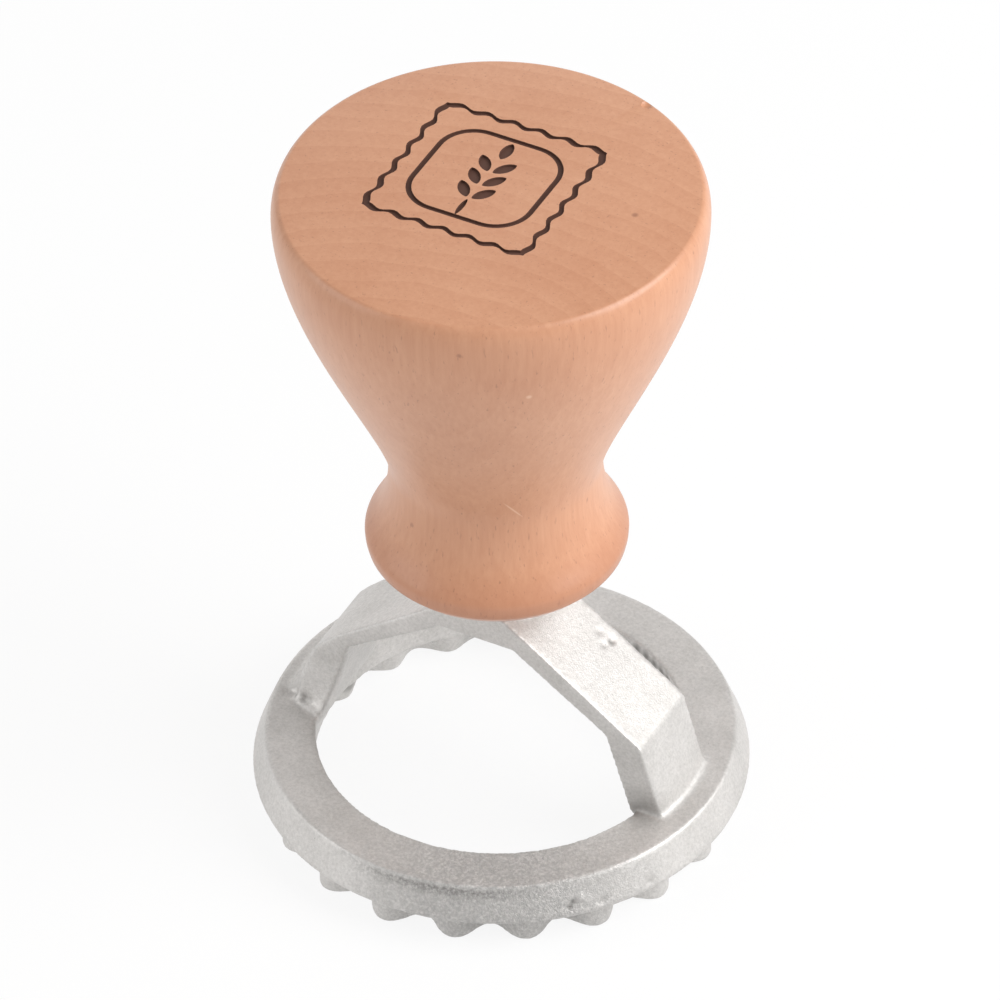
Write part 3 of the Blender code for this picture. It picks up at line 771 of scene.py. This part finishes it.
fibre_share = add(
    "ShaderNodeMath", {"operation": "MULTIPLY_ADD"},
    i0=fibre.outputs["Fac"], i1=0.50, i2=ring_share.outputs[0],
)
broad = add("ShaderNodeTexNoise", Vector=place, Scale=1 / CLOUD_SIZE, Detail=3.0, Roughness=0.55)
all_shares = add(
    "ShaderNodeMath", {"operation": "MULTIPLY_ADD"},
    i0=broad.outputs["Fac"], i1=0.55, i2=fibre_share.outputs[0],
)
tone = add("ShaderNodeMapRange", Value=all_shares.outputs[0], **{"From Min": 0.36, "From Max": 0.80})
plain = add(
    "ShaderNodeMix", {"data_type": "RGBA"}, Factor=tone.outputs["Result"], i6=WOOD_LIGHT, i7=WOOD_DARK
)
short = add("ShaderNodeMapping", Vector=place, Scale=(1.0, 1.0, 0.22))
flecks = add("ShaderNodeTexNoise", Vector=short.outputs["Vector"], Scale=1 / FLECK_SIZE, Detail=1.0)
pores = add(
    "ShaderNodeMapRange", Value=flecks.outputs["Fac"], **{"From Min": 0.66, "From Max": 0.80, "To Max": 0.55}
)
base = add(
    "ShaderNodeMix", {"data_type": "RGBA"}, Factor=pores.outputs["Result"], i6=plain.outputs[2], i7=WOOD_PORE
)
height = add("ShaderNodeSeparateXYZ", Vector=place).outputs["Z"]
# Painted shade: the handle darkens towards its foot over its lowest 7 mm.
foot_shade = add(
    "ShaderNodeMapRange", Value=height,
    **{
        "From Min": HANDLE_FOOT_Z + FOOT_SHADE_REACH,
        "From Max": HANDLE_FOOT_Z + FOOT_SHADE_CORE,
        "To Max": 0.45,
    },
)
foot_shaded = add(
    "ShaderNodeMix", {"data_type": "RGBA"},
    Factor=foot_shade.outputs["Result"], i6=base.outputs[2], i7=FOOT_SHADE_COLOUR,
)
colour = foot_shaded.outputs[2]
for spot, reach, tint, strength in SPOTS:
    away = add("ShaderNodeVectorMath", {"operation": "DISTANCE"}, i0=place, i1=spot)
    near = add(
        "ShaderNodeMapRange", Value=away.outputs["Value"],
        **{"From Min": reach, "From Max": 0.4 * reach, "To Max": strength},
    )
    spotted = add("ShaderNodeMix", {"data_type": "RGBA"}, Factor=near.outputs["Result"], i6=colour, i7=tint)
    colour = spotted.outputs[2]
along_scratch = add(
    "ShaderNodeMapping", {"vector_type": "TEXTURE"}, Vector=place, Location=SCRATCH_PLACE,
    Rotation=Vector(SCRATCH_RUN).to_track_quat("Z", "Y").to_euler(), Scale=SCRATCH_HALF_SIZE,
)
off_scratch = add("ShaderNodeVectorMath", {"operation": "LENGTH"}, i0=along_scratch.outputs["Vector"])
scratch = add(
    "ShaderNodeMapRange", Value=off_scratch.outputs["Value"],
    **{"From Min": 1.0, "From Max": 0.5, "To Max": 0.5},
)
scratched = add(
    "ShaderNodeMix", {"data_type": "RGBA"}, Factor=scratch.outputs["Result"], i6=colour, i7=WOOD_BARE
)
links.new(scratched.outputs[2], shader.inputs["Base Color"])
shader.inputs["Roughness"].default_value = 0.42
shader.inputs["Coat Weight"].default_value = 0.25
shader.inputs["Coat Roughness"].default_value = 0.24
grain_bump = add("ShaderNodeBump", Strength=0.3, Distance=0.00006, Height=fibre.outputs["Fac"])
fine_bump = add(
    "ShaderNodeBump", Strength=0.2, Distance=0.00004, Height=flecks.outputs["Fac"],
    Normal=grain_bump.outputs["Normal"],
)
links.new(fine_bump.outputs["Normal"], shader.inputs["Normal"])
handle.data.materials.append(wood)

BURNT_COLOUR = (0.105, 0.045, 0.030, 1.0)
burnt, shader, add, links = new_material("burnt_wood")
shader.inputs["Base Color"].default_value = BURNT_COLOUR
shader.inputs["Roughness"].default_value = 0.75
handle.data.materials.append(burnt)
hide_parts("handle")
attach(handle, "root")


# The studio: a plain white floor, an even white surround, a soft lamp near on the right, a larger one
# further off on the left, and one behind that evens out the floor.
VIEW_AZIMUTH = math.radians(28.487)
VIEW_ELEVATION = math.radians(40.69)
VIEW_ROLL = math.radians(-1.088)
VIEW_DISTANCE = 1.222
VIEW_AIM_SIDE = 0.00043
VIEW_AIM_HEIGHT = 0.04622
LENS = 360.0
across = Vector((math.cos(VIEW_AZIMUTH), math.sin(VIEW_AZIMUTH), 0.0))
level = Vector((-math.sin(VIEW_AZIMUTH), math.cos(VIEW_AZIMUTH), 0.0))

FLOOR_SIDE = 6.0
FLOOR_COLOUR = (0.90, 0.90, 0.90, 1.0)
FLOOR_WHITE_SHARE = 0.88
bm = bmesh.new()
bmesh.ops.create_grid(bm, x_segments=1, y_segments=1, size=FLOOR_SIDE / 2)
floor = shown("floor", bm)
paper, shader, add, links = new_material("white_floor")
shader.inputs["Base Color"].default_value = FLOOR_COLOUR
shader.inputs["Roughness"].default_value = 0.9
shader.inputs["Specular IOR Level"].default_value = 0.0
rays = add("ShaderNodeLightPath")
camera_or_glossy = add(
    "ShaderNodeMath", {"operation": "MAXIMUM"},
    i0=rays.outputs["Is Camera Ray"], i1=rays.outputs["Is Glossy Ray"],
)
seen = add(
    "ShaderNodeMath", {"operation": "MAXIMUM"},
    i0=camera_or_glossy.outputs[0], i1=rays.outputs["Is Transmission Ray"],
)
share = add("ShaderNodeMath", {"operation": "MULTIPLY"}, i0=seen.outputs[0], i1=FLOOR_WHITE_SHARE)
white = add("ShaderNodeEmission", Color=(1.0, 1.0, 1.0, 1.0), Strength=1.0)
mixed = add(
    "ShaderNodeMixShader", Fac=share.outputs[0], i1=shader.outputs["BSDF"], i2=white.outputs["Emission"]
)
links.new(mixed.outputs["Shader"], paper.node_tree.nodes["Material Output"].inputs["Surface"])
floor.data.materials.append(paper)

SURROUND = 0.46
world = bpy.data.worlds.new("surround")
world.use_nodes = True
soft = world.node_tree.nodes["Background"]
soft.inputs["Color"].default_value = (1.0, 1.0, 1.0, 1.0)
soft.inputs["Strength"].default_value = SURROUND
bpy.context.scene.world = world


def soft_lamp(name, right, back, up, distance, size, power):
    """A square area lamp that faces the middle of the stamp, placed as the camera sees it."""
    lamp = bpy.data.lights.new(name, "AREA")
    lamp.shape = "SQUARE"
    lamp.size = size
    lamp.energy = power
    item = bpy.data.objects.new(name, lamp)
    item.visible_camera = False
    direction = (across * right + level * back + Vector((0, 0, up))).normalized()
    item.location = Vector((0, 0, VIEW_AIM_HEIGHT)) + direction * distance
    item.rotation_euler = (-direction).to_track_quat("-Z", "Y").to_euler()
    bpy.context.scene.collection.objects.link(item)


soft_lamp("key", right=0.80, back=-0.22, up=0.62, distance=0.58, size=0.46, power=3.6)
soft_lamp("fill", right=-0.93, back=-0.16, up=0.38, distance=1.2, size=0.9, power=4.5)
soft_lamp("backdrop_glow", right=-0.25, back=1.0, up=0.10, distance=1.4, size=1.3, power=5.3)

camera = bpy.data.cameras.new("camera")
camera.lens = LENS
camera.sensor_width = 36.0
eye = bpy.data.objects.new("camera", camera)
forward = level * math.cos(VIEW_ELEVATION) - Vector((0, 0, math.sin(VIEW_ELEVATION)))
upward = across.cross(forward)
turned_across = across * math.cos(VIEW_ROLL) + upward * math.sin(VIEW_ROLL)
turned_upward = upward * math.cos(VIEW_ROLL) - across * math.sin(VIEW_ROLL)
pose = Matrix((turned_across, turned_upward, -forward)).transposed().to_4x4()
pose.translation = across * VIEW_AIM_SIDE + Vector((0, 0, VIEW_AIM_HEIGHT)) - forward * VIEW_DISTANCE
eye.matrix_world = pose
bpy.context.scene.collection.objects.link(eye)
bpy.context.scene.camera = eye
bpy.context.scene.view_settings.view_transform = "Standard"
